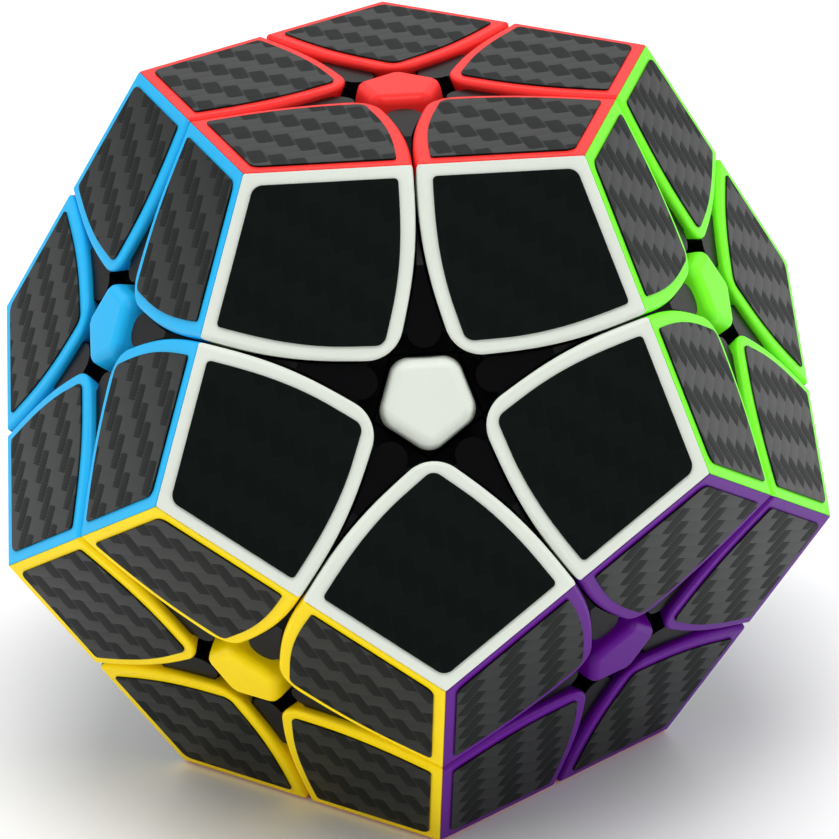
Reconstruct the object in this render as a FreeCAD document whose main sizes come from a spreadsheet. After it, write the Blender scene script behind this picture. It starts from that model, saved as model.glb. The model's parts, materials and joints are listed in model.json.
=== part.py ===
"""Two-layer dodecahedral twisty puzzle: core, hubs, hidden edges, corners, stickers and caps.

The puzzle is centred on the origin and stands on its orange face, with the red face on top.
Each face has an axis through the origin. A turning cut, which is a surface of revolution about
that axis, parts the layer of the face from the rest. A corner lies inside three layers, a hidden
edge inside two and a hub with its cap inside one, so every piece is what the cuts leave of it.
"""
import FreeCAD, Part
import itertools
import math
import os

from FreeCAD import Placement, Rotation, Vector

doc = FreeCAD.newDocument("puzzle")
ORIGIN = Vector(0, 0, 0)
UP = Vector(0, 0, 1)

# ---------------------------------------------------------------- driving dimensions

SIZES = {
    "half_flats": 35.0,         # centre of the puzzle to the outer plane of a face
    "sticker_thick": 0.2,
    "shell_thick": 2.2,
    "turning_gap": 0.28,        # between two pieces across a cut
    "rim_width": 1.45,          # shell left bare around a sticker
    "rim_corner": 0.9,          # radius of a sticker's outer corners
    "tip_round": 3.5,           # radius of a shell's tip beside the cap
    "star_apothem": 3.42,       # face centre to the turning cut, at the face
    "seat_depth": 2.5,          # depth of the cap's seat below the face
    "seat_apothem": 4.2,        # face centre to the turning cut, at the seat
    "flank_bow": 0.6,           # pull on the cut's flank that narrows the arms of a star
    "foot_top": 25.44,          # sphere over the feet
    "foot_bottom": 18.3,        # sphere under the feet
    "foot_angle": 50.0,         # half angle of the cone that bounds a layer's feet
    "tongue_depth": 0.9,        # top of a hidden edge's tongue below the face
    "tongue_heart": 6.4,        # face centre to the middle of a tongue's round end
    "tongue_round": 1.6,
    "moat_depth": 2.6,          # room between a cap and the tongues, below the face
    "edge_reach": 35.5,         # hidden edge, centre of the puzzle to its ridge
    "pocket_low": 26.5,         # floor of a corner's hollow
    "pocket_brim": 32.0,
    "pocket_floor": 3.0,        # radius of the hollow at its floor
    "pocket_mouth": 9.3,
    "cap_apothem": 3.6,         # top of a cap, level with the stickers
    "cap_round": 0.55,          # rounding of a cap's top
    "cap_corner": 0.9,          # rounding of its upright corners
    "plug_length": 1.9,         # cap's plug in the hub's bore
    "plug_play": 0.08,
    "stalk_radius": 4.0,
    "collar_radius": 5.6,
    "collar_low": 16.5,
    "collar_high": 17.2,
    "bore_radius": 2.9,
    "bore_floor": 19.0,
    "screw_hole": 1.4,
    "shank_radius": 1.35,
    "shank_low": 8.0,
    "head_low": 26.5,
    "head_high": 28.3,
    "head_radius": 2.6,
    "recess_width": 0.7,
    "recess_length": 3.2,
    "recess_depth": 1.0,
    "washer_radius": 2.7,
    "washer_thick": 0.5,
    "washer_hole": 1.42,
    "wire_radius": 0.28,
    "coil_radius": 2.3,
    "coil_turns": 5.0,
    "ball_radius": 13.0,
    "boss_radius": 3.4,
    "boss_high": 16.4,
    "pilot_radius": 1.37,
}

sizes = doc.addObject("Spreadsheet::Sheet", "sizes")
for row, (alias, value) in enumerate(SIZES.items(), start=1):
    sizes.set(f"A{row}", alias.replace("_", " "))
    sizes.set(f"B{row}", str(value))
    sizes.setAlias(f"B{row}", alias)
doc.recompute()


def size(alias):
    """A driving dimension, read from the sheet."""
    return float(getattr(sizes, alias))


# ---------------------------------------------------------------- directions

NEXT_FACE = math.acos(1 / math.sqrt(5))                 # between two neighbouring face axes
TO_EDGE = NEXT_FACE / 2                                 # face axis to its own edge's middle
TO_VERTEX = math.acos(math.sqrt((5 + 2 * math.sqrt(5)) / 15))
TO_FAR_EDGE = math.pi / 2 - TO_EDGE                     # face axis to the end of a side edge
PENTAGON = math.pi / 5                                  # half of a pentagon's central angle
SIDES = 5

UPPER_RING = {"white": -90, "green": -18, "cream": 54, "pink": 126, "blue": 198}
LOWER_RING = {"purple": -54, "navy": 18, "grey": 90, "forest": 162, "yellow": 234}
TURNING = ("white", "cream", "orange")                  # the layers that carry a joint


def direction(tilt, turn):
    """Unit vector at an angle from +Z and an angle about it, in radians."""
    return Vector(math.sin(tilt) * math.cos(turn), math.sin(tilt) * math.sin(turn), math.cos(tilt))


AXES = {"red": direction(0, 0), "orange": direction(math.pi, 0)}
AXES.update({name: direction(NEXT_FACE, math.radians(turn)) for name, turn in UPPER_RING.items()})
AXES.update({name: direction(math.pi - NEXT_FACE, math.radians(turn))
             for name, turn in LOWER_RING.items()})


def touching(names):
    """Whether the named faces all meet one another."""
    return all(AXES[a].dot(AXES[b]) > 0.4 for a, b in itertools.combinations(names, 2))


CORNERS = [names for names in itertools.combinations(AXES, 3) if touching(names)]
EDGES = [names for names in itertools.combinations(AXES, 2) if touching(names)]


def body_of(names):
    """The body that a piece in the named layers turns with."""
    for name in names:
        if name in TURNING:
            return name + "_layer"
    return "fixed"


def middle(names):
    """Unit vector through the corner, edge or face where the named faces meet."""
    total = ORIGIN
    for name in names:
        total = total + AXES[name]
    return total.normalize()


def frame(axis, towards):
    """Placement that turns +Z onto an axis and +X towards a second direction."""
    return Placement(ORIGIN, Rotation(towards, ORIGIN, axis, "ZXY"))


# ---------------------------------------------------------------- turning cut

def offset_line(start, end, shift):
    """The line through two points, moved to its left by a shift, as a point and a direction."""
    run = (end - start).normalize()
    return start + Vector(-run.y, run.x, 0) * shift, run


def crossing(first, second):
    """Where two lines, each a point and a direction, cross."""
    (point, run), (other, way) = first, second
    gap = other - point
    return point + run * ((gap.x * way.y - gap.y * way.x) / (run.x * way.y - run.y * way.x))


def face_point(depth, out):
    """Radius and height, about one axis, of a point on the neighbouring face."""
    height = size("half_flats") - depth
    radius = height * math.sin(NEXT_FACE) - out * math.cos(NEXT_FACE)
    return Vector(radius, height * math.cos(NEXT_FACE) + out * math.sin(NEXT_FACE), 0)


SEAT = face_point(size("seat_depth"), size("seat_apothem"))     # on the cut, beside a cap's seat
KNEE = face_point(0, size("star_apothem"))                      # on the cut, beside a cap's top
EDGE_END = Vector(size("half_flats"), size("half_flats") * math.tan(TO_EDGE), 0)
BEYOND = 50.0                                                   # outside every piece


def bowed(start, end):
    """The cut's flank between two points, bowed out of the layer near its start."""
    third = (end - start) / 3
    across = Vector(third.y, -third.x, 0).normalize()
    curve = Part.BezierCurve()
    curve.setPoles([start, start + third + across * size("flank_bow"), end - third, end])
    return curve.toShape()


def layer_solid(shift, plain=False):
    """Everything inside the layer of the +Z face, drawn in from its cut by a shift.

    The cut bends where it passes a cap's seat and bows past it, unless it is plain.
    """
    floor = offset_line(Vector(0, SEAT.y, 0), SEAT, shift)
    slope = offset_line(SEAT, KNEE, shift)
    flank = offset_line(KNEE, EDGE_END, shift)
    cone_angle = math.radians(size("foot_angle"))
    cone_run = Vector(math.sin(cone_angle), math.cos(cone_angle), 0)
    cone_side = Vector(-cone_run.y, cone_run.x, 0)
    groove = size("foot_top") - shift
    low = cone_side * shift + cone_run * math.sqrt(groove ** 2 - shift ** 2)
    high = Vector(math.sqrt(groove ** 2 - floor[0].y ** 2), floor[0].y, 0)
    halfway = (low + high).normalize() * groove
    apex = Vector(0, shift / math.sin(cone_angle), 0)
    bends = [crossing(floor, flank)] if plain else [crossing(floor, slope), crossing(slope, flank)]
    shoulder = flank[0] + flank[1] * (EDGE_END - KNEE).Length
    side = Part.makeLine(bends[-1], shoulder) if plain else bowed(bends[-1], shoulder)
    rim = flank[0] + flank[1] * ((BEYOND - flank[0].x) / flank[1].x)
    inner = [high] + bends
    outer = [shoulder, rim, Vector(BEYOND, BEYOND, 0), Vector(0, BEYOND, 0), apex, low]
    edges = [Part.makeLine(a, b) for chain in (inner, outer) for a, b in zip(chain, chain[1:])]
    edges.insert(len(inner) - 1, side)
    edges.append(Part.Arc(low, halfway, high).toShape())
    profile = Part.Face(Part.Wire(edges))
    solid = profile.revolve(ORIGIN, Vector(0, 1, 0), 360)
    solid.Placement = Placement(ORIGIN, Rotation(Vector(1, 0, 0), 90))
    return solid


HALF_GAP = size("turning_gap") / 2
INSIDE = layer_solid(HALF_GAP)                          # for the pieces in a layer
OUTSIDE = layer_solid(-HALF_GAP)                        # for the pieces left out of it
RIM_CUT = layer_solid(HALF_GAP + size("rim_width"), plain=True)     # for the stickers


def turned(solid, axis):
    """A layer's solid, turned from +Z onto another axis."""
    copy = solid.copy()
    copy.Placement = Placement(ORIGIN, Rotation(UP, axis)).multiply(solid.Placement)
    return copy


def above(axis, height):
    """Everything past a plane at a height along an axis."""
    block = Part.makeBox(2 * BEYOND, 2 * BEYOND, BEYOND, Vector(-BEYOND, -BEYOND, height))
    block.Placement = Placement(ORIGIN, Rotation(UP, axis))
    return block


def edges_where(shape, test):
    """The edges of a shape whose middle point passes a test."""
    return [edge for edge in shape.Edges
            if test(edge.valueAt((edge.FirstParameter + edge.LastParameter) / 2), edge)]


# ---------------------------------------------------------------- corner shell and its sticker
# Drawn on the +Z face, with the corner towards +X.

SHELL_TOP = size("half_flats") - size("sticker_thick")
SHELL_LOW = SHELL_TOP - size("shell_thick")
SHELL_SIDES = (direction(NEXT_FACE, PENTAGON), direction(NEXT_FACE, -PENTAGON))


def kite(height, inset=0.0):
    """A quarter of the face at a height: its centre, two edge middles and the corner."""
    apothem = height * math.tan(TO_EDGE) - inset
    reach = apothem / math.cos(PENTAGON)
    across = apothem * math.sin(PENTAGON)
    along = apothem * math.cos(PENTAGON)
    points = [Vector(0, 0, height), Vector(along, -across, height),
              Vector(reach, 0, height), Vector(along, across, height)]
    return Part.makePolygon(points + points[:1])


def upright(edge):
    """Whether an edge runs up through the shell."""
    low, high = edge.BoundBox.ZMin, edge.BoundBox.ZMax
    return high - low > 0.9 * min(size("shell_thick"), size("sticker_thick"))


def make_shell():
    """One coloured shell, mitred against its two neighbours on the corner."""
    shell = Part.makeLoft([kite(SHELL_LOW), kite(SHELL_TOP)], True, True)
    for side in SHELL_SIDES:
        shell = shell.common(turned(INSIDE, side))
    tip = edges_where(shell, lambda p, e: upright(e) and math.hypot(p.x, p.y) < 8)
    return shell.makeFillet(size("tip_round"), tip)


def make_sticker():
    """The film on one shell."""
    low, high = SHELL_TOP, size("half_flats")
    film = Part.Face(kite(low, size("rim_width"))).extrude(UP * (high - low))
    for side in SHELL_SIDES:
        film = film.common(turned(RIM_CUT, side))
    tip = edges_where(film, lambda p, e: upright(e) and math.hypot(p.x, p.y) < 9)
    film = film.makeFillet(size("tip_round") - size("rim_width"), tip)
    outer = edges_where(film, lambda p, e: upright(e) and math.hypot(p.x, p.y) > 15)
    return film.makeFillet(size("rim_corner"), outer)


# ---------------------------------------------------------------- corner foot
# Drawn with its corner towards +Z.

def make_corner_foot():
    """The black body under three shells: a cup that they close, with a neck and a foot below."""
    foot = Part.makeCylinder(size("half_flats"), BEYOND, ORIGIN, UP)
    for third in range(3):
        axis = direction(TO_VERTEX, third * math.tau / 3)
        foot = foot.common(turned(INSIDE, axis)).cut(above(axis, SHELL_LOW))
    low, high = size("pocket_low"), size("pocket_brim")
    foot = foot.cut(Part.makeCone(size("pocket_floor"), size("pocket_mouth"), high - low, UP * low))
    foot = foot.cut(Part.makeCylinder(size("pocket_mouth"), BEYOND, UP * high))
    return foot.cut(Part.makeSphere(size("foot_bottom") + HALF_GAP))


# ---------------------------------------------------------------- hidden edge
# Drawn with its ridge towards +Z and its two faces towards -X and +X.

def make_moat():
    """The room round the cap of the +Z face, less the round end of its tongue towards +X."""
    floor, heart = size("half_flats") - size("moat_depth"), size("tongue_heart")
    room = Part.makeCylinder(heart, BEYOND, UP * floor)
    return room.cut(Part.makeCylinder(size("tongue_round"), BEYOND, Vector(heart, 0, floor)))


def make_hidden_edge():
    """The black piece between two hubs, whose two tongues are the arms of two stars."""
    moat = make_moat()
    piece = Part.makeCylinder(size("half_flats"), size("edge_reach"), ORIGIN, UP)
    tongue_top = size("half_flats") - size("tongue_depth")
    for turn in (0, math.pi):
        axis = direction(TO_EDGE, turn)
        piece = piece.common(turned(INSIDE, axis)).cut(above(axis, tongue_top))
        piece = piece.cut(placed(moat, frame(axis, UP)))
    for turn in (math.pi / 2, -math.pi / 2):
        piece = piece.cut(turned(OUTSIDE, direction(TO_FAR_EDGE, turn)))
    return piece.cut(Part.makeSphere(size("foot_bottom") + HALF_GAP))


# ---------------------------------------------------------------- turned parts, on the +Z axis

def bind(thing, **formulas):
    """Binds an object's sizes to the sheet."""
    for prop, formula in formulas.items():
        thing.setExpression(prop.replace("__", "."), formula)
    return thing


def cylinder(name, radius, low, high):
    """A cylinder about +Z between two heights, from formulas on the sheet."""
    rod = doc.addObject("Part::Cylinder", name)
    return bind(rod, Radius=radius, Height=f"({high}) - ({low})", Placement__Base__z=low)


def spoke(name, radius, reach, axis):
    """A cylinder from the puzzle's centre out along an axis, from formulas on the sheet."""
    rod = doc.addObject("Part::Cylinder", name)
    rod.Placement = Placement(ORIGIN, Rotation(UP, axis))
    return bind(rod, Radius=radius, Height=reach)


def pentagon(name, apothem, height, length, narrowing):
    """A pentagonal frustum whose flats face the neighbouring axes."""
    outline = doc.addObject("Part::RegularPolygon", name + "_outline")
    outline.Polygon = SIDES
    bind(outline, Circumradius=f"({apothem}) / cos(36 deg)", Placement__Base__z=height)
    frustum = doc.addObject("Part::Extrusion", name)
    frustum.Base = outline
    frustum.DirMode = "Custom"
    frustum.Dir = UP
    frustum.Solid = True
    bind(frustum, LengthFwd=length, TaperAngle=narrowing)
    return frustum


def joined(name, pieces):
    """Several objects fused into one."""
    whole = doc.addObject("Part::MultiFuse", name)
    whole.Shapes = pieces
    return whole


def cut(name, base, tool):
    """One object with another taken out of it."""
    rest = doc.addObject("Part::Cut", name)
    rest.Base = base
    rest.Tool = tool
    return rest


SEAT_HEIGHT = "sizes.half_flats - sizes.seat_depth"
SEAT_SIDE = "sizes.seat_apothem - 0.55 * sizes.turning_gap"     # half a gap off the leaning cut


def make_hub():
    """The spool under a cap: a flange over the edges' feet, a stalk between them and a collar.

    The flange widens by one for every two that it goes down.
    """
    flange_low = "sizes.foot_top + sizes.turning_gap / 2"
    flange = pentagon("hub_flange", f"{SEAT_SIDE} + ({SEAT_HEIGHT} - {flange_low}) / 2", flange_low,
                      f"{SEAT_HEIGHT} - ({flange_low})", "-atan(1 / 2)")
    stalk = cylinder("hub_stalk", "sizes.stalk_radius", "sizes.collar_low", f"{flange_low} + 1")
    collar = cylinder("hub_collar", "sizes.collar_radius", "sizes.collar_low", "sizes.collar_high")
    bore = cylinder("hub_bore", "sizes.bore_radius", "sizes.bore_floor", "sizes.half_flats")
    hole = cylinder("hub_hole", "sizes.screw_hole", "sizes.collar_low - 1", "sizes.bore_floor + 1")
    return cut("hub", joined("hub_spool", [flange, stalk, collar]), joined("hub_bores", [bore, hole]))


def make_cap():
    """The cap on a hub, with the plug that holds it in the bore."""
    body = pentagon("cap_body", SEAT_SIDE, SEAT_HEIGHT, "sizes.seat_depth",
                    f"-atan(({SEAT_SIDE} - sizes.cap_apothem) / sizes.seat_depth)")
    doc.recompute()
    half_way = size("half_flats") - size("seat_depth") / 2
    rounding = []
    for number, edge in enumerate(body.Shape.Edges, start=1):
        low, high = edge.BoundBox.ZMin, edge.BoundBox.ZMax
        if high > half_way:
            radius = size("cap_round") if low > half_way else size("cap_corner")
            rounding.append((number, radius, radius))
    soft = doc.addObject("Part::Fillet", "cap_soft")
    soft.Base = body
    soft.Edges = rounding
    plug = cylinder("cap_plug", "sizes.bore_radius - sizes.plug_play",
                    f"{SEAT_HEIGHT} - sizes.plug_length", f"{SEAT_HEIGHT} + 0.5")
    return joined("cap", [soft, plug])


def make_core():
    """The ball in the middle, with twelve bosses and a blind hole for each screw."""
    ball = doc.addObject("Part::Sphere", "core_ball")
    bind(ball, Radius="sizes.ball_radius")
    bosses = []
    pilots = []
    for name, axis in AXES.items():
        bosses.append(spoke("core_boss_" + name, "sizes.boss_radius", "sizes.boss_high", axis))
        pilots.append(spoke("core_pilot_" + name, "sizes.pilot_radius", "sizes.half_flats", axis))
    heart = doc.addObject("Part::Sphere", "core_heart")
    bind(heart, Radius="sizes.shank_low")
    drilled = cut("core_holes", joined("core_pilots", pilots), heart)
    return cut("core_drilled", joined("core_bosses", [ball] + bosses), drilled)


def make_screw():
    """A tension screw with a cross recess."""
    shank = cylinder("screw_shank", "sizes.shank_radius", "sizes.shank_low", "sizes.head_low + 0.5")
    head = cylinder("screw_head", "sizes.head_radius", "sizes.head_low", "sizes.head_high")
    slots = []
    for name, wide, deep in (("screw_slot", "recess_length", "recess_width"),
                             ("screw_slot_across", "recess_width", "recess_length")):
        slot = doc.addObject("Part::Box", name)
        bind(slot, Length=f"sizes.{wide}", Width=f"sizes.{deep}", Height="2 * sizes.recess_depth",
             Placement__Base__x=f"-sizes.{wide} / 2", Placement__Base__y=f"-sizes.{deep} / 2",
             Placement__Base__z="sizes.head_high - sizes.recess_depth")
        slots.append(slot)
    return cut("screw", joined("screw_blank", [shank, head]), joined("screw_recess", slots))


def make_washer():
    """The washer between a screw head and its spring."""
    low = "sizes.head_low - sizes.washer_thick"
    disc = cylinder("washer_disc", "sizes.washer_radius", low, "sizes.head_low")
    hole = cylinder("washer_bore", "sizes.washer_hole", f"{low} - 1", "sizes.head_low + 1")
    return cut("washer", disc, hole)


def make_spring():
    """The compression spring around a screw, between the bore's floor and the washer."""
    low = "sizes.bore_floor + sizes.wire_radius"
    span = "sizes.head_low - sizes.washer_thick - sizes.bore_floor - 2 * sizes.wire_radius"
    coil = doc.addObject("Part::Helix", "spring_coil")
    bind(coil, Radius="sizes.coil_radius", Height=span, Pitch=f"({span}) / sizes.coil_turns",
         Placement__Base__z=low)
    wire = doc.addObject("Part::Circle", "spring_wire")
    wire.Placement = Placement(ORIGIN, Rotation(Vector(1, 0, 0), 90))
    bind(wire, Radius="sizes.wire_radius", Placement__Base__x="sizes.coil_radius",
         Placement__Base__z=low)
    spring = doc.addObject("Part::Sweep", "spring")
    spring.Sections = [wire]
    spring.Spine = (coil, ["Edge1"])
    spring.Solid = True
    spring.Frenet = True
    return spring


# ---------------------------------------------------------------- sub-parts

def part(label, solids):
    """One sub-part, as a group of separate solids in their places."""
    group = doc.addObject("Part::Feature", label)
    group.Shape = solids[0] if len(solids) == 1 else Part.makeCompound(solids)
    group.Label = label
    return group


def placed(shape, place):
    """A copy of a shape, moved from the place where it was drawn."""
    copy = shape.copy()
    copy.Placement = place.multiply(shape.Placement)
    return copy


def turned_part(master):
    """The finished solid of a turned part."""
    return master.Shape.Solids[0].copy()


hub, cap, core = make_hub(), make_cap(), make_core()
screw, washer, spring = make_screw(), make_washer(), make_spring()
doc.recompute()

shell, sticker = make_shell(), make_sticker()
corner_foot, hidden_edge = make_corner_foot(), make_hidden_edge()

groups = {}


def add(label, solid):
    """Files a placed solid under its sub-part's name."""
    groups.setdefault(label, []).append(solid)


for names in CORNERS:
    corner = middle(names)
    body = body_of(names)
    for name in names:
        place = frame(AXES[name], corner)
        add(f"{name}_shells_{body}", placed(shell, place))
        add(f"stickers_{body}", placed(sticker, place))
    add(f"corner_feet_{body}", placed(corner_foot, frame(corner, AXES[names[0]])))

for names in EDGES:
    ridge = frame(middle(names), AXES[names[1]] - AXES[names[0]])
    add(f"hidden_edges_{body_of(names)}", placed(hidden_edge, ridge))

for name, axis in AXES.items():
    neighbour = next(other for other in AXES.values() if 0.4 < axis.dot(other) < 0.9)
    place = frame(axis, neighbour).multiply(Placement(ORIGIN, Rotation(UP, 36)))
    add(f"hub_{name}_layer" if name in TURNING else "hubs_fixed", placed(turned_part(hub), place))
    add(f"{name}_cap", placed(turned_part(cap), place))
    add("tension_screws", placed(turned_part(screw), place))
    add("washers", placed(turned_part(washer), place))
    add("tension_springs", placed(turned_part(spring), place))
add("core", turned_part(core))

parts = [part(label, solids) for label, solids in groups.items()]
doc.recompute()

for thing in doc.Objects:
    if "Invalid" in thing.State or "Error" in thing.State:
        raise RuntimeError(f"{thing.Label} did not compute")
os.makedirs("parts", exist_ok=True)
for thing in parts:
    if thing.Shape.isNull() or not thing.Shape.isValid():
        raise RuntimeError(f"{thing.Label} has no valid shape")
    thing.Shape.exportStep(f"parts/{thing.Label}.step")
    print(f"{thing.Label}: {len(thing.Shape.Solids)} solids, {thing.Shape.Volume:.1f} mm3")
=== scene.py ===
"""Two-layer dodecahedral twisty puzzle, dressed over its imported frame.

Sixty coloured corner shells, sixty embossed stickers and twelve caps are made here. The hidden
edges, corner feet, hubs, core, screws, springs and washers are the frame's own solids.
"""
import itertools
import json
import math

import bmesh
import bpy
from mathutils import Matrix, Vector


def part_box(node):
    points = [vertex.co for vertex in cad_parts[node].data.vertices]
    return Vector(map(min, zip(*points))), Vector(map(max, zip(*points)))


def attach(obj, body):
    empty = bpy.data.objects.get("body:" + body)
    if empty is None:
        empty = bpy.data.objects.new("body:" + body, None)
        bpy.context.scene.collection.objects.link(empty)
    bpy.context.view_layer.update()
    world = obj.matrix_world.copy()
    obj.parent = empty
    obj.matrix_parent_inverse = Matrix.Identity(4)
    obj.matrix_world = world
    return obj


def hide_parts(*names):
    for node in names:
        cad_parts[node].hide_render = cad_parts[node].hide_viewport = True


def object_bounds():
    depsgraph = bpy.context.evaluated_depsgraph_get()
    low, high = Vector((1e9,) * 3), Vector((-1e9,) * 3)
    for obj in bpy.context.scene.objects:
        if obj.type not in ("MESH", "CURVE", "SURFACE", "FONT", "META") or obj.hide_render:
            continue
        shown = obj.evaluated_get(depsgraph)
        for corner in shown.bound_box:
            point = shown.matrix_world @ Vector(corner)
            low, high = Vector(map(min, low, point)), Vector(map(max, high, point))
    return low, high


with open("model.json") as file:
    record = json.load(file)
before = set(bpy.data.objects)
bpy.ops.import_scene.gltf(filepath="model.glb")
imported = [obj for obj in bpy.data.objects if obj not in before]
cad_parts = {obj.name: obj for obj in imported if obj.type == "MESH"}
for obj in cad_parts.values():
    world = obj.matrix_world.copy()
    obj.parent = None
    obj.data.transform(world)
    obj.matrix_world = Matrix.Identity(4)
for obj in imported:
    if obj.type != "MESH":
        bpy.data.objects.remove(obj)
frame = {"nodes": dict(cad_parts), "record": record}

bl_info = {
    "name": "Dodecahedral Puzzle",
    "version": (1, 0, 0),
    "blender": (4, 5, 0),
    "location": "View3D > Sidebar > Puzzle",
    "description": "Builds the shells, stickers, caps and finishes of a dodecahedral puzzle",
    "category": "Add Mesh",
}

CAD_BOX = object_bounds()
BODIES = frame["record"]["behaviour"]["bodies"]
MM = 0.001

# ------------------------------------------------------------------ the puzzle's directions

NEXT_FACE = math.acos(1 / math.sqrt(5))         # between two neighbouring face axes
TO_EDGE = NEXT_FACE / 2                         # face axis to the middle of its own edge
PENTAGON = math.pi / 5                          # half of a pentagon's central angle
SIDES = 5
ALIKE = 0.01                                    # two cosines this near are the same
HALF_FLATS = CAD_BOX[1].z
SHELL_LOW, SHELL_TOP = (corner.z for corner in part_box("red_shells_fixed"))
CAP_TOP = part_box("red_cap")[1].z


def direction(tilt, turn):
    """Unit vector at an angle from +Z and an angle about it."""
    return Vector((math.sin(tilt) * math.cos(turn), math.sin(tilt) * math.sin(turn), math.cos(tilt)))


def face_axes():
    """The twelve face axes, each under the colour of the cap that sits on it."""
    quarter = math.pi / 2
    exact = [direction(0, 0), direction(math.pi, 0)]
    exact += [direction(NEXT_FACE, 2 * PENTAGON * k - quarter) for k in range(SIDES)]
    exact += [direction(math.pi - NEXT_FACE, 2 * PENTAGON * k + quarter) for k in range(SIDES)]
    named = {}
    for node in frame["nodes"]:
        if node.endswith("_cap"):
            low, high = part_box(node)
            named[node[:-len("_cap")]] = max(exact, key=(low + high).dot)
    return named


AXES = face_axes()
TURNING = {body.split("_")[0]: body for body in BODIES if body.endswith("_layer")}
FIXED = next(body for body in BODIES if body not in TURNING.values())


def touch(first, second):
    """Whether two faces share an edge."""
    return abs(AXES[first].dot(AXES[second]) - math.cos(NEXT_FACE)) < ALIKE


def corners():
    """The three faces that meet at each of the twenty corners."""
    return [names for names in itertools.combinations(AXES, 3)
            if all(touch(*pair) for pair in itertools.combinations(names, 2))]


def middle(names):
    """Unit vector through the corner where the named faces meet."""
    return sum((AXES[name] for name in names), Vector()).normalized()


def body_of(names):
    """The body that a piece in the named layers turns with."""
    return next((TURNING[name] for name in names if name in TURNING), FIXED)


def facing(axis, towards):
    """Rotation that turns +Z onto an axis and +X towards a second direction."""
    across = (towards - axis * towards.dot(axis)).normalized()
    return Matrix((across, axis.cross(across), axis)).transposed()


# ------------------------------------------------------------------ settings

class PuzzleShape(bpy.types.PropertyGroup):
    """Sizes of the shells, stickers and caps."""
    gap: bpy.props.FloatProperty(
        name="Turning gap", description="Gap between two pieces across a cut",
        default=0.28 * MM, unit="LENGTH")
    star: bpy.props.FloatProperty(
        name="Star", description="Middle of a face to the cut beside its cap",
        default=3.42 * MM, unit="LENGTH")
    seat: bpy.props.FloatProperty(
        name="Seat", description="Middle of a face to the cut beside the cap's seat",
        default=4.2 * MM, unit="LENGTH")
    seat_depth: bpy.props.FloatProperty(
        name="Seat depth", description="Depth of the cap's seat below the face",
        default=2.5 * MM, unit="LENGTH")
    bow: bpy.props.FloatProperty(
        name="Bow", description="Pull on the cut's flank that narrows the arms of a star",
        default=0.6 * MM, unit="LENGTH")
    tip: bpy.props.FloatProperty(
        name="Tip radius", description="Radius of a shell's tip beside the cap",
        default=3.5 * MM, unit="LENGTH")
    brow: bpy.props.FloatProperty(
        name="Brow radius", description="Rounding of a shell's edges above the star",
        default=0.55 * MM, unit="LENGTH")
    seam: bpy.props.FloatProperty(
        name="Seam radius", description="Rounding of a shell's edges beside its two neighbours",
        default=0.165 * MM, unit="LENGTH")
    seam_rim: bpy.props.FloatProperty(
        name="Seam rim", description="Shell left bare between its sticker and a seam",
        default=1.2 * MM, unit="LENGTH")
    star_rim: bpy.props.FloatProperty(
        name="Star rim", description="Shell left bare between its sticker and the star",
        default=1.4 * MM, unit="LENGTH")
    film_tip: bpy.props.FloatProperty(
        name="Film tip", description="Radius of a sticker's tip",
        default=1.1 * MM, unit="LENGTH")
    film_corner: bpy.props.FloatProperty(
        name="Film corner", description="Radius of a sticker's corner opposite its tip",
        default=0.8 * MM, unit="LENGTH")
    film_edge: bpy.props.FloatProperty(
        name="Film edge", description="Rounding of a sticker's upper and lower edges",
        default=0.07 * MM, unit="LENGTH")
    cap_side: bpy.props.FloatProperty(
        name="Cap", description="Middle of a cap to a flat side of its top",
        default=3.6 * MM, unit="LENGTH")
    cap_plug: bpy.props.FloatProperty(
        name="Cap plug", description="Middle of a cap to a flat side of its plug",
        default=2.2 * MM, unit="LENGTH")
    cap_corner: bpy.props.FloatProperty(
        name="Cap corner", description="Rounding of a cap's upright corners",
        default=1.3 * MM, unit="LENGTH")
    cap_round: bpy.props.FloatProperty(
        name="Cap rounding", description="Rounding of a cap's top, as a share of its corners'",
        default=0.7, min=0, max=1, subtype="FACTOR")


# Linear colours of the twelve plastics, under the faces' names.
COLOURS = {
    "white": (0.68, 0.72, 0.65), "red": (0.86, 0.030, 0.026), "orange": (0.95, 0.17, 0.006),
    "green": (0.18, 0.88, 0.022), "cream": (0.86, 0.77, 0.42), "pink": (0.90, 0.11, 0.30),
    "blue": (0.015, 0.42, 0.80), "purple": (0.105, 0.002, 0.235), "navy": (0.012, 0.030, 0.30),
    "grey": (0.20, 0.21, 0.215), "forest": (0.008, 0.11, 0.030), "yellow": (1.00, 0.71, 0.001),
}


class PuzzleColours(bpy.types.PropertyGroup):
    """Colours of the twelve faces."""
    __annotations__ = {
        name: bpy.props.FloatVectorProperty(
            name=name.capitalize(), description=f"Colour of the {name} plastic",
            default=colour, subtype="COLOR", min=0, max=1)
        for name, colour in COLOURS.items()
    }


class PuzzleFinish(bpy.types.PropertyGroup):
    """Gloss and weave of the plastics and the film."""
    gloss: bpy.props.FloatProperty(
        name="Gloss", description="Roughness of the coloured plastic",
        default=0.30, min=0, max=1, subtype="FACTOR")
    shine: bpy.props.FloatProperty(
        name="Shine", description="Specular level of the coloured plastic",
        default=0.09, min=0, max=1, subtype="FACTOR")
    thread: bpy.props.FloatProperty(
        name="Thread", description="Width of one thread of the film's twill",
        default=1.66 * MM, unit="LENGTH")
    relief: bpy.props.FloatProperty(
        name="Relief", description="Height of the film's embossing",
        default=0.035 * MM, unit="LENGTH")


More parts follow.
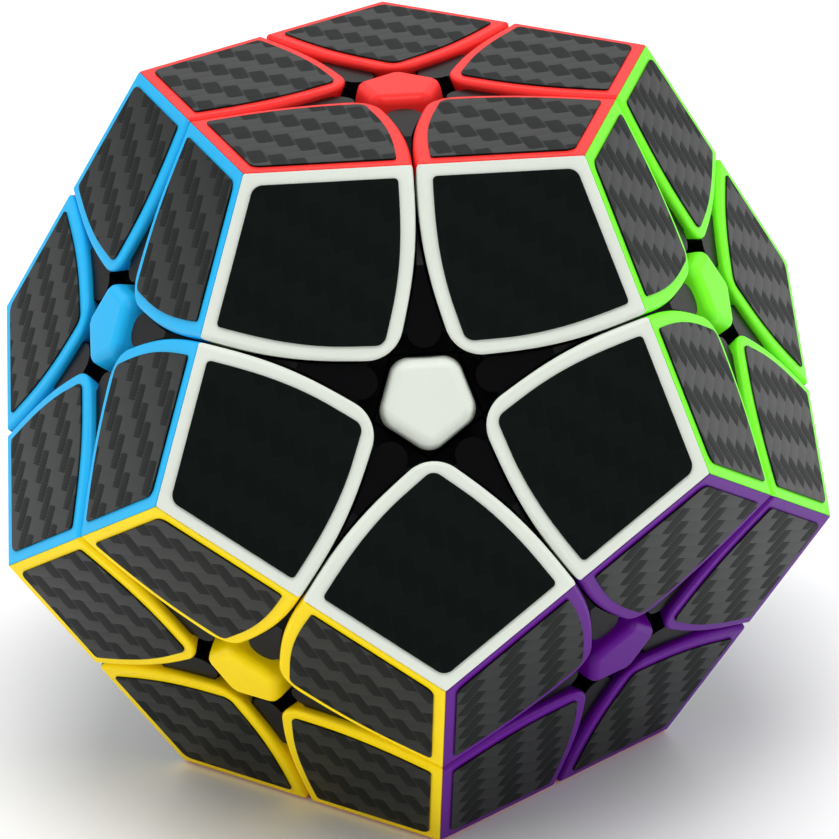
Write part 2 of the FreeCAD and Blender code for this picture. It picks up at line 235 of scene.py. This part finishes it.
class PuzzleStage(bpy.types.PropertyGroup):
    """Floor, lights and camera."""
    azimuth: bpy.props.FloatProperty(
        name="Azimuth", description="Turn of the camera about the puzzle",
        default=math.radians(-3.257), subtype="ANGLE")
    elevation: bpy.props.FloatProperty(
        name="Elevation", description="Rise of the camera over the puzzle's middle",
        default=math.radians(25.484), subtype="ANGLE")
    roll: bpy.props.FloatProperty(
        name="Roll", description="Turn of the camera about its own line of sight",
        default=math.radians(-1.94), subtype="ANGLE")
    distance: bpy.props.FloatProperty(
        name="Distance", description="Camera to the point it looks at",
        default=322.08 * MM, unit="LENGTH")
    aim: bpy.props.FloatVectorProperty(
        name="Aim", description="Point that the camera looks at",
        default=(0.86 * MM, -0.50 * MM, -0.97 * MM), subtype="TRANSLATION")
    lens: bpy.props.FloatProperty(
        name="Lens", description="Focal length in millimetres", default=135.75)


def shape():
    """The puzzle's sizes."""
    return bpy.context.scene.puzzle_shape


def finish():
    """The puzzle's finishes."""
    return bpy.context.scene.puzzle_finish


# ------------------------------------------------------------------ the turning cut, in one plane

CUT_ROUNDS = 8                                  # rounds until a point of the cut settles
HALVINGS = 40                                   # of the range in which a value is searched
CUT_STEPS = 14                                  # points of an outline along the cut
ARC_STEPS = 8                                   # and round half of its tip
SHORT = 0.01 * MM                               # a step that is short beside every piece
PAST_CORNER = 1.1                               # half edges out, where that search starts


def on_face(depth, out):
    """Radius and height, about a face axis, of a point on the neighbouring face."""
    height = HALF_FLATS - depth
    return (height * math.sin(NEXT_FACE) - out * math.cos(NEXT_FACE),
            height * math.cos(NEXT_FACE) + out * math.sin(NEXT_FACE))


def cut_height(radius, spare):
    """Height of the turning cut about its own axis at a radius, raised by a spare distance.

    The cut is straight below its knee. Past the knee it is a cubic whose first handle is pulled
    down by the bow, so it lies furthest below the straight line a third of the way out.
    """
    sizes = shape()
    seat, knee = on_face(sizes.seat_depth, sizes.seat), on_face(0, sizes.star)
    run, rise = HALF_FLATS - knee[0], HALF_FLATS * math.tan(TO_EDGE) - knee[1]
    part = (radius - knee[0]) / run
    if part < 0:
        slope = (knee[1] - seat[1]) / (knee[0] - seat[0])
        height = knee[1] + slope * (radius - knee[0])
    else:
        drop = 3 * sizes.bow * math.hypot(run, rise) / run
        slope = (rise - drop * (1 - part) * (1 - 3 * part)) / run
        height = knee[1] + rise * part - drop * part * (1 - part) ** 2
    return height + spare * math.hypot(1, slope)


def cut_point(height, along, spare):
    """Where the cut of the layer beside a face crosses a plane over that face."""
    out = 0.0
    for _ in range(CUT_ROUNDS):
        inward = height * math.sin(NEXT_FACE) - out * math.cos(NEXT_FACE)
        rise = cut_height(math.hypot(inward, along), spare) - height * math.cos(NEXT_FACE)
        out = rise / math.sin(NEXT_FACE)
    return Vector((out * math.cos(PENTAGON) - along * math.sin(PENTAGON),
                   out * math.sin(PENTAGON) + along * math.cos(PENTAGON)))


def bisect(test, low, high):
    """Where a test turns from false to true between two values."""
    for _ in range(HALVINGS):
        half = (low + high) / 2
        low, high = (low, half) if test(half) else (half, high)
    return high


def shell_outline(height, spare, inset, radius):
    """Half of a shell's outline at a height: from its corner, along the seam and the cut, to its tip.

    Spare draws the outline in from the cut, inset draws it in from the seams.
    """
    apothem = height * math.tan(TO_EDGE) - inset
    seam = Vector((math.cos(PENTAGON), -math.sin(PENTAGON)))
    end = bisect(lambda t: cut_point(height, t, spare).dot(seam) < apothem,
                 -HALF_FLATS * math.tan(TO_EDGE) * PAST_CORNER, 0.0)

    def centre(along):
        here = cut_point(height, along, spare)
        run = (cut_point(height, along + SHORT, spare) - here).normalized()
        return here, here + Vector((-run.y, run.x)) * -radius

    start = bisect(lambda t: centre(t)[1].y > 0, end, 0.0)
    here, heart = centre(start)
    points = [Vector((apothem / math.cos(PENTAGON), 0.0))]
    points += [cut_point(height, end + (start - end) * k / CUT_STEPS, spare) for k in range(CUT_STEPS)]
    swing = math.atan2(here.y - heart.y, here.x - heart.x)
    sweep = -math.pi - swing
    for k in range(ARC_STEPS + 1):
        angle = swing + sweep * k / ARC_STEPS
        points.append(Vector((heart.x + radius * math.cos(angle), radius * math.sin(angle))))
    points[-1].y = 0.0
    return points


def closed(half):
    """A whole outline from its lower half, which starts and ends on the X axis."""
    return half + [Vector((p.x, -p.y)) for p in reversed(half[1:-1])]


# ------------------------------------------------------------------ mesh work

SHARP = math.radians(35)                        # a fold past this stays a crisp edge
FACE_PULL = 60                                  # how much a large face pulls the normals
TREE = "set_around_the_core"


def loft(name, rings, weight):
    """A closed mesh through rings of points, with a bevel weight for each edge."""
    mesh = bpy.data.meshes.new(name)
    work = bmesh.new()
    layer = work.edges.layers.float.new("bevel_weight_edge")
    built = [[work.verts.new(p) for p in ring] for ring in rings]
    count = len(rings[0])
    for low, high in zip(built, built[1:]):
        for k in range(count):
            work.faces.new((low[k], low[(k + 1) % count], high[(k + 1) % count], high[k]))
    work.faces.new(built[-1])
    work.faces.new(reversed(built[0]))
    bmesh.ops.recalc_face_normals(work, faces=work.faces)
    place = {v: (i, k) for i, ring in enumerate(built) for k, v in enumerate(ring)}
    for edge in work.edges:
        edge[layer] = weight(*place[edge.verts[0]], *place[edge.verts[1]])
    work.to_mesh(mesh)
    work.free()
    thing = bpy.data.objects.new(name, mesh)
    bpy.context.scene.collection.objects.link(thing)
    return thing


def bevel(thing, width, segments, angle=None):
    """Rounds an object's edges by their weights, or those sharper than an angle."""
    soften = thing.modifiers.new("soft", "BEVEL")
    soften.width = width
    soften.segments = segments
    soften.limit_method = "WEIGHT" if angle is None else "ANGLE"
    if angle is not None:
        soften.angle_limit = angle
    soften.use_clamp_overlap = True


def copies_tree():
    """Node tree that sets a master on every point, turned as the point says."""
    tree = bpy.data.node_groups.new(TREE, "GeometryNodeTree")
    face = tree.interface
    face.new_socket("Geometry", in_out="INPUT", socket_type="NodeSocketGeometry")
    face.new_socket("Master", in_out="INPUT", socket_type="NodeSocketObject")
    face.new_socket("Size", in_out="INPUT", socket_type="NodeSocketFloat").default_value = 1.0
    face.new_socket("Finish", in_out="INPUT", socket_type="NodeSocketMaterial")
    face.new_socket("Geometry", in_out="OUTPUT", socket_type="NodeSocketGeometry")
    nodes, links = tree.nodes, tree.links
    given, made = nodes.new("NodeGroupInput"), nodes.new("NodeGroupOutput")
    master = nodes.new("GeometryNodeObjectInfo")
    turn = nodes.new("GeometryNodeInputNamedAttribute")
    turn.data_type = "QUATERNION"
    turn.inputs["Name"].default_value = "turn"
    place = nodes.new("GeometryNodeInstanceOnPoints")
    real = nodes.new("GeometryNodeRealizeInstances")
    dress = nodes.new("GeometryNodeSetMaterial")
    links.new(given.outputs["Master"], master.inputs["Object"])
    links.new(given.outputs["Geometry"], place.inputs["Points"])
    links.new(master.outputs["Geometry"], place.inputs["Instance"])
    links.new(turn.outputs["Attribute"], place.inputs["Rotation"])
    links.new(given.outputs["Size"], place.inputs["Scale"])
    links.new(place.outputs["Instances"], real.inputs["Geometry"])
    links.new(real.outputs["Geometry"], dress.inputs["Geometry"])
    links.new(given.outputs["Finish"], dress.inputs["Material"])
    links.new(dress.outputs["Geometry"], made.inputs["Geometry"])
    return tree


def copies(name, master, turns, material, body, node):
    """One piece made of a master's copies, each turned about the puzzle's centre."""
    tree = bpy.data.node_groups.get(TREE) or copies_tree()
    points = bpy.data.meshes.new(name + "_points")
    points.from_pydata([(0, 0, 0)] * len(turns), [], [])
    store = points.attributes.new("turn", "QUATERNION", "POINT")
    for item, turn in zip(store.data, turns):
        item.value = turn.to_quaternion()
    seed = bpy.data.objects.new(name + "_seed", points)
    bpy.context.scene.collection.objects.link(seed)
    around = seed.modifiers.new("around", "NODES")
    around.node_group = tree
    sockets = {item.name: item.identifier for item in tree.interface.items_tree
               if item.in_out == "INPUT"}
    around[sockets["Master"]] = master
    around[sockets["Finish"]] = material
    graph = bpy.context.evaluated_depsgraph_get()
    mesh = bpy.data.meshes.new_from_object(seed.evaluated_get(graph), depsgraph=graph)
    mesh.name = name
    piece = bpy.data.objects.new(name, mesh)
    bpy.context.scene.collection.objects.link(piece)
    bpy.data.objects.remove(seed)
    mesh.shade_smooth()
    mesh.set_sharp_from_angle(angle=SHARP)
    even = piece.modifiers.new("even", "WEIGHTED_NORMAL")
    even.keep_sharp = True
    even.weight = FACE_PULL
    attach(piece, body)
    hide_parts(node)
    return piece


def discard(thing):
    """Removes a master once its copies are made."""
    bpy.data.objects.remove(thing)


# ------------------------------------------------------------------ shader maths

class Reading:
    """A socket that can be used in an expression."""

    def __init__(self, graph, socket):
        self.graph, self.socket = graph, socket

    def output(self, key):
        """Another output of the same node."""
        return Reading(self.graph, self.socket.node.outputs[key])

    def maths(self, operation, *values):
        """A Math node fed by the socket, or by the values given."""
        return self.graph.node("ShaderNodeMath", {"operation": operation},
                               {i: v for i, v in enumerate(values or (self,))})

    def __add__(self, other): return self.maths("ADD", self, other)
    def __radd__(self, other): return self.maths("ADD", other, self)
    def __sub__(self, other): return self.maths("SUBTRACT", self, other)
    def __rsub__(self, other): return self.maths("SUBTRACT", other, self)
    def __mul__(self, other): return self.maths("MULTIPLY", self, other)
    def __rmul__(self, other): return self.maths("MULTIPLY", other, self)
    def __mod__(self, other): return self.maths("FLOORED_MODULO", self, other)
    def __lt__(self, other): return self.maths("LESS_THAN", self, other)


class Graph:
    """A shader tree under construction."""

    def __init__(self, tree):
        self.tree = tree

    def node(self, kind, settings=None, inputs=None, output=0):
        """A node with its settings and the values or links of its sockets, as a reading."""
        made = self.tree.nodes.new(kind)
        for key, value in (settings or {}).items():
            setattr(made, key, value)
        for key, value in (inputs or {}).items():
            self.feed(made.inputs[key], value)
        return Reading(self, made.outputs[output])

    def feed(self, socket, value):
        """Links a reading to a socket, or sets a plain value."""
        if isinstance(value, Reading):
            self.tree.links.new(value.socket, socket)
        else:
            socket.default_value = value

    def ramp(self, value, start, end, low, high):
        """A smooth step from one value to another."""
        return self.node("ShaderNodeMapRange", {"interpolation_type": "SMOOTHSTEP"},
                         {"Value": value, "From Min": start, "From Max": end,
                          "To Min": low, "To Max": high})


class Paint(Graph):
    """A material under construction, with the shader's constant values."""

    def __init__(self, name, **constants):
        self.material = bpy.data.materials.new(name)
        self.material.use_nodes = True
        super().__init__(self.material.node_tree)
        self.shader = self.tree.nodes["Principled BSDF"]
        self.set(**constants)

    def set(self, **channels):
        """Feeds the shader's own sockets."""
        for name, value in channels.items():
            self.feed(self.shader.inputs[name.replace("_", " ")], value)

    def noise(self, scale, detail, roughness=0.5):
        """Noise over the puzzle, in cycles per metre."""
        spot = self.node("ShaderNodeTexCoord", output="Object")
        return self.node("ShaderNodeTexNoise", {"noise_dimensions": "3D"},
                         {"Vector": spot, "Scale": scale, "Detail": detail, "Roughness": roughness})

    def mix(self, factor, first, second):
        """A blend of two colours."""
        return self.node("ShaderNodeMix", {"data_type": "RGBA"},
                         {0: factor, 6: first, 7: second}, output=2)

    def bump(self, height, distance, strength):
        """A normal bent by a height field."""
        return self.node("ShaderNodeBump", None,
                         {"Height": height, "Distance": distance, "Strength": strength})


def shade(colour, factor):
    """A colour made darker or lighter."""
    return tuple(min(1.0, channel * factor) for channel in colour) + (1.0,)


CLOUD, PEEL, GRAIN, TURNED = 120, 2200, 900, 1500  # cycles per metre of each noise
PEEL_DEPTH = 0.012 * MM
TURNED_DEPTH = 0.01 * MM
DARKER, LIGHTER = 0.94, 1.05                    # limits of a plastic's faint clouds
UNEVEN, FILM_UNEVEN = 0.12, 0.10                # how much the roughness of each varies
BLACK = (0.004, 0.004, 0.0045)
BLACK_GLOSS, BLACK_SHINE = 0.24, 0.06


def plastic(name, colour, gloss, shine):
    """Moulded gloss plastic: an even colour, a faint orange peel and slightly uneven gloss."""
    paint = Paint(name, Specular_IOR_Level=shine)
    cloud = paint.noise(CLOUD, 3)
    peel = paint.noise(PEEL, 2)
    paint.set(Base_Color=paint.mix(cloud, shade(colour, DARKER), shade(colour, LIGHTER)),
              Roughness=gloss + (cloud - 0.5) * UNEVEN,
              Normal=paint.bump(peel, PEEL_DEPTH, 0.5))
    return paint.material


def coloured(name):
    """The plastic of one face, made once."""
    label = name + "_moulded_plastic"
    colour = getattr(bpy.context.scene.puzzle_colours, name)
    return bpy.data.materials.get(label) or plastic(label, colour, finish().gloss, finish().shine)


def black_plastic():
    """The black plastic of the mechanism, made once."""
    label = "black_moulded_plastic"
    return bpy.data.materials.get(label) or plastic(label, BLACK, BLACK_GLOSS, BLACK_SHINE)


OVER = 2.0                                      # threads that a float passes over
REPEAT = 2 * OVER                               # threads after which the twill repeats
CROWN, SAG = 2.6, 0.35                          # fall of a float towards its sides and its ends
RIDGES, RIDGE = 7, 0.05                         # fine ridges across a float, and their height
NOTCHES, NOTCH = 5, 0.05                        # notches per thread along a mark, their depth
MARK = (0.19, 0.31)                             # squared way off its middle: still dark, pale
MARK_END = 0.08                                 # what the ends add to that square
FILM, MARKED = (0.0040, 0.0058, 0.0050, 1), (0.0034, 0.0052, 0.0044, 1)  # colour, off and on a mark
FILM_GLOSS, MARK_DULL = 0.34, 0.12              # roughness of the film, and a mark's addition
FILM_COAT, MARK_BARE = 0.30, 0.25               # weight of the coat, and how much a mark lacks


def twill_film():
    """Embossed film with a two-by-two twill: floats of two threads, stepped by one on each row.

    Each weft float carries a dark, duller mark with notched sides.
    """
    paint = Paint("twill_film", Specular_IOR_Level=0.06, Coat_Roughness=0.30, Coat_IOR=1.5)
    place = paint.node("ShaderNodeUVMap", {"uv_map": "threads"})
    across = paint.node("ShaderNodeSeparateXYZ", None, {0: place})
    along = across.output("Y")
    column, row = across.maths("FLOOR"), along.maths("FLOOR")
    step = (column - row) % REPEAT
    u, v = across - column, along - row
    weft = step < OVER - 0.5
    warp = 1.0 - weft
    reach = (step + u) % OVER - 1.0
    drop = (step + 1.0 - v) % OVER - 1.0
    crown_weft = 1.0 - (v - 0.5) * (v - 0.5) * CROWN - reach * reach * SAG
    crown_warp = 1.0 - (u - 0.5) * (u - 0.5) * CROWN - drop * drop * SAG
    strand = weft * v + warp * u
    ridges = (strand * (math.tau * RIDGES)).maths("SINE") * RIDGE
    height = weft * crown_weft + warp * crown_warp + ridges
    notches = (across * (math.tau * NOTCHES)).maths("SINE") * NOTCH
    ends = reach * reach * reach * reach * MARK_END
    dark = weft * paint.ramp((v - 0.5) * (v - 0.5) + ends + notches, *MARK, 1.0, 0.0)
    grain = paint.noise(GRAIN, 3)
    paint.set(Base_Color=paint.mix(dark, FILM, MARKED),
              Roughness=FILM_GLOSS + dark * MARK_DULL + (grain - 0.5) * FILM_UNEVEN,
              Coat_Weight=FILM_COAT - dark * MARK_BARE,
              Normal=paint.bump(height, finish().relief, 0.8))
    return paint.material


def steel():
    """Plated steel with a faint turned grain."""
    paint = Paint("plated_steel", Metallic=1.0)
    grain = paint.noise(TURNED, 4, 0.7)
    paint.set(Base_Color=paint.mix(grain, (0.50, 0.50, 0.51, 1), (0.66, 0.66, 0.66, 1)),
              Roughness=0.24 + grain * 0.2, Normal=paint.bump(grain, TURNED_DEPTH, 0.4))
    return paint.material


# ------------------------------------------------------------------ operators

SHELL_LEVELS = (1.0, 0.66, 0.36, 0.0)           # a shell's outlines, as shares of its depth


class PUZZLE_OT_shells(bpy.types.Operator):
    """Makes the coloured corner shells"""
    bl_idname = "puzzle.shells"
    bl_label = "Corner shells"

    def execute(self, context):
        sizes = context.scene.puzzle_shape
        depth = SHELL_TOP - SHELL_LOW
        heights = [SHELL_TOP - depth * part for part in SHELL_LEVELS]
        rings = [[(p.x, p.y, height) for p in closed(shell_outline(height, sizes.gap / 2, 0, sizes.tip))]
                 for height in heights]
        count, top = len(rings[0]), len(rings) - 1
        seam_edge = sizes.seam / sizes.brow

        def weight(level, k, other_level, other_k):
            if level == other_level == top:
                return seam_edge if 0 in (k, other_k) else 1.0
            if level != other_level and k in (0, 1, count - 1):
                return seam_edge
            return 0.0

        master = loft("shell_master", rings, weight)
        bevel(master, sizes.brow, 4)
        for node in [n for n in frame["nodes"] if "_shells_" in n]:
            colour, body = node.split("_shells_")
            turns = [facing(AXES[colour], middle(names)) for names in corners()
                     if colour in names and body_of(names) == body]
            copies(f"{colour}_corner_shells_{body}", master, turns, coloured(colour), body, node)
        discard(master)
        return {"FINISHED"}


# Degrees from the line across a face to its weft. The other faces have none.
THREAD_TURN = {"white": -79, "red": -79, "blue": 0, "green": 29, "purple": 29, "yellow": -40}
FILM_FOLD = math.radians(50)                    # a sticker's edges that fold more are rounded


def thread_frame(name):
    """Directions along the weft, across it and out of a face."""
    axis = AXES[name]
    preferred = "red" if name == "white" else "white"
    up = next(AXES[other] for other in (preferred, *AXES) if touch(name, other))
    up = (up - axis * up.dot(axis)).normalized()
    turn = math.radians(THREAD_TURN.get(name, 0))
    across = up.cross(axis)
    return facing(axis, across * math.cos(turn) + up * math.sin(turn))


def lay_threads(piece):
    """Gives a piece of film its thread coordinates, along and across the weft of its face."""
    mesh = piece.data
    layer = mesh.uv_layers.new(name="threads")
    frames = {name: thread_frame(name) for name in AXES}
    for polygon in mesh.polygons:
        name = max(AXES, key=lambda face: AXES[face].dot(polygon.center))
        flat = frames[name].inverted()
        for loop in polygon.loop_indices:
            spot = flat @ mesh.vertices[mesh.loops[loop].vertex_index].co
            layer.data[loop].uv = (spot.x / finish().thread, spot.y / finish().thread)


class PUZZLE_OT_stickers(bpy.types.Operator):
    """Makes the embossed stickers"""
    bl_idname = "puzzle.stickers"
    bl_label = "Stickers"

    def execute(self, context):
        sizes = context.scene.puzzle_shape
        outline = closed(shell_outline(SHELL_TOP, sizes.gap / 2 + sizes.star_rim, sizes.seam_rim,
                                       sizes.film_tip))
        rings = [[(p.x, p.y, height) for p in outline] for height in (SHELL_TOP, HALF_FLATS)]
        count = len(outline)

        def upright(level, k, other_level, other_k):
            if level == other_level or k not in (0, 1, count - 1):
                return 0.0
            return 1.0 if k == 0 else 0.5

        master = loft("sticker_master", rings, upright)
        bevel(master, sizes.film_corner, 5)
        bevel(master, sizes.film_edge, 2, FILM_FOLD)
        film = twill_film()
        for body in BODIES:
            turns = [facing(AXES[name], middle(names)) for names in corners()
                     if body_of(names) == body for name in names]
            piece = copies(f"twill_stickers_{body}", master, turns, film, body, f"stickers_{body}")
            lay_threads(piece)
        discard(master)
        return {"FINISHED"}


PLUG, PLUG_TOP, FOOT, TOP = range(4)            # a cap's rings, from the lowest up
FOOT_GAP = 0.55                                 # share of the turning gap round a cap's foot


class PUZZLE_OT_caps(bpy.types.Operator):
    """Makes the centre caps"""
    bl_idname = "puzzle.caps"
    bl_label = "Centre caps"

    def execute(self, context):
        sizes = context.scene.puzzle_shape
        seat = HALF_FLATS - sizes.seat_depth
        levels = {
            PLUG: (min(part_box("red_cap")[0].z, seat), sizes.cap_plug),
            PLUG_TOP: (seat - SHORT, sizes.cap_plug),
            FOOT: (seat, sizes.seat - FOOT_GAP * sizes.gap),
            TOP: (CAP_TOP, sizes.cap_side),
        }
        rings = []
        for height, side in levels.values():
            reach = side / math.cos(PENTAGON)
            rings.append([(reach * math.cos(2 * PENTAGON * k), reach * math.sin(2 * PENTAGON * k), height)
                          for k in range(SIDES)])

        def weight(level, k, other_level, other_k):
            if level == other_level == TOP:
                return sizes.cap_round
            return 1.0 if {level, other_level} == {FOOT, TOP} else 0.0

        master = loft("cap_master", rings, weight)
        bevel(master, sizes.cap_corner, 6)
        for name, axis in AXES.items():
            corner = next(middle(names) for names in corners() if name in names)
            body = body_of((name,))
            copies(f"{name}_centre_cap", master, [facing(axis, corner)], coloured(name), body,
                   f"{name}_cap")
        discard(master)
        return {"FINISHED"}


class PUZZLE_OT_mechanism(bpy.types.Operator):
    """Finishes the hidden edges, feet, hubs, core, screws, springs and washers"""
    bl_idname = "puzzle.mechanism"
    bl_label = "Mechanism"

    def execute(self, context):
        metal = steel()
        for node, thing in frame["nodes"].items():
            if thing.hide_render:
                continue
            plated = node in ("tension_screws", "tension_springs", "washers")
            thing.data.materials.clear()
            thing.data.materials.append(metal if plated else black_plastic())
        return {"FINISHED"}


# Place, width and height in metres, and power in watts.
SOFTBOXES = {
    "left_softbox": ((-0.90, -0.50, 0.10), (0.5, 0.6), 2.9),
    "right_softbox": ((0.90, -0.50, 0.15), (0.5, 0.6), 3.2),
    "top_softbox": ((0.0, -0.20, 1.00), (0.6, 0.5), 5.3),
}
FLOOR_REACH = 3.0
SHADE = (0.45, 0.92, 1.0, 0.04)                 # cosine to the dark side: from, to; light: from, to
SKY = (0.0, 0.4, 0.18, 1.15)                    # height: from, to; light: horizon, overhead


def lay_floor(scene):
    """A pale matt floor at the puzzle's lowest face."""
    mesh = bpy.data.meshes.new("floor")
    corners = [(x * FLOOR_REACH, y * FLOOR_REACH, 0) for x, y in ((-1, -1), (1, -1), (1, 1), (-1, 1))]
    mesh.from_pydata(corners, [], [(0, 1, 2, 3)])
    floor = bpy.data.objects.new("floor", mesh)
    floor.location.z = CAD_BOX[0].z
    scene.collection.objects.link(floor)
    paint = Paint("pale_floor", Specular_IOR_Level=0.1, Roughness=0.9, Base_Color=(0.93, 0.93, 0.93, 1))
    mesh.materials.append(paint.material)


def hang_softbox(scene, name, place, size, power):
    """A rectangular light that faces the puzzle."""
    light = bpy.data.lights.new(name, "AREA")
    light.shape = "RECTANGLE"
    light.size, light.size_y = size
    light.energy = power
    lamp = bpy.data.objects.new(name, light)
    lamp.location = place
    lamp.rotation_euler = (-Vector(place)).to_track_quat("-Z", "Y").to_euler()
    scene.collection.objects.link(lamp)


def set_camera(scene):
    """The camera on its orbit about the aim, returned with the direction from the aim to it."""
    view = scene.puzzle_stage
    camera = bpy.data.cameras.new("camera")
    camera.lens = view.lens
    camera.clip_start, camera.clip_end = 0.01, 10
    eye = bpy.data.objects.new("camera", camera)
    turn = (Matrix.Rotation(view.azimuth, 4, "Z") @ Matrix.Rotation(math.pi / 2 - view.elevation, 4, "X")
            @ Matrix.Rotation(view.roll, 4, "Z"))
    eye.matrix_world = (Matrix.Translation(view.aim) @ turn
                        @ Matrix.Translation((0, 0, view.distance)))
    scene.collection.objects.link(eye)
    scene.camera = eye
    return turn.to_3x3() @ Vector((0, 0, 1))


def light_room(scene, dark_side):
    """A white room, bright overhead, dim at the horizon and dark on the camera's side."""
    world = bpy.data.worlds.new("studio")
    world.use_nodes = True
    room = Graph(world.node_tree)
    look = room.node("ShaderNodeTexCoord", output="Generated")
    front = room.node("ShaderNodeVectorMath", {"operation": "DOT_PRODUCT"},
                      {0: look, 1: dark_side}, output="Value")
    height = room.node("ShaderNodeSeparateXYZ", None, {0: look}, output="Z")
    light = room.ramp(front, *SHADE) * room.ramp(height, *SKY)
    background = room.tree.nodes["Background"]
    room.feed(background.inputs["Color"], (1.0, 1.0, 1.0, 1.0))
    room.feed(background.inputs["Strength"], light)
    scene.world = world


class PUZZLE_OT_stage(bpy.types.Operator):
    """Sets up the floor, the lights and the camera"""
    bl_idname = "puzzle.stage"
    bl_label = "Stage"

    def execute(self, context):
        scene = context.scene
        lay_floor(scene)
        for name, (place, size, power) in SOFTBOXES.items():
            hang_softbox(scene, name, place, size, power)
        light_room(scene, set_camera(scene))
        scene.view_settings.view_transform = "Standard"
        return {"FINISHED"}


class PUZZLE_PT_panel(bpy.types.Panel):
    """Lists the puzzle's operators"""
    bl_label = "Dodecahedral puzzle"
    bl_idname = "PUZZLE_PT_panel"
    bl_space_type = "VIEW_3D"
    bl_region_type = "UI"
    bl_category = "Puzzle"

    def draw(self, context):
        for operator in OPERATORS:
            self.layout.operator(operator.bl_idname)
        for label in GROUPS:
            group = getattr(context.scene, label)
            for key in group.__annotations__:
                self.layout.prop(group, key)


GROUPS = {
    "puzzle_shape": PuzzleShape,
    "puzzle_colours": PuzzleColours,
    "puzzle_finish": PuzzleFinish,
    "puzzle_stage": PuzzleStage,
}
OPERATORS = (PUZZLE_OT_shells, PUZZLE_OT_stickers, PUZZLE_OT_caps, PUZZLE_OT_mechanism,
             PUZZLE_OT_stage)


def register():
    """Registers the classes and hangs the settings on the scene."""
    for cls in (*GROUPS.values(), *OPERATORS, PUZZLE_PT_panel):
        bpy.utils.register_class(cls)
    for name, group in GROUPS.items():
        setattr(bpy.types.Scene, name, bpy.props.PointerProperty(type=group))


def unregister():
    """Takes the settings and the classes away."""
    for name in GROUPS:
        delattr(bpy.types.Scene, name)
    for cls in reversed((*GROUPS.values(), *OPERATORS, PUZZLE_PT_panel)):
        bpy.utils.unregister_class(cls)


def main():
    """Builds everything in order."""
    register()
    for operator in OPERATORS:
        group, name = operator.bl_idname.split(".")
        getattr(getattr(bpy.ops, group), name)()


if __name__ == "__main__":
    main()
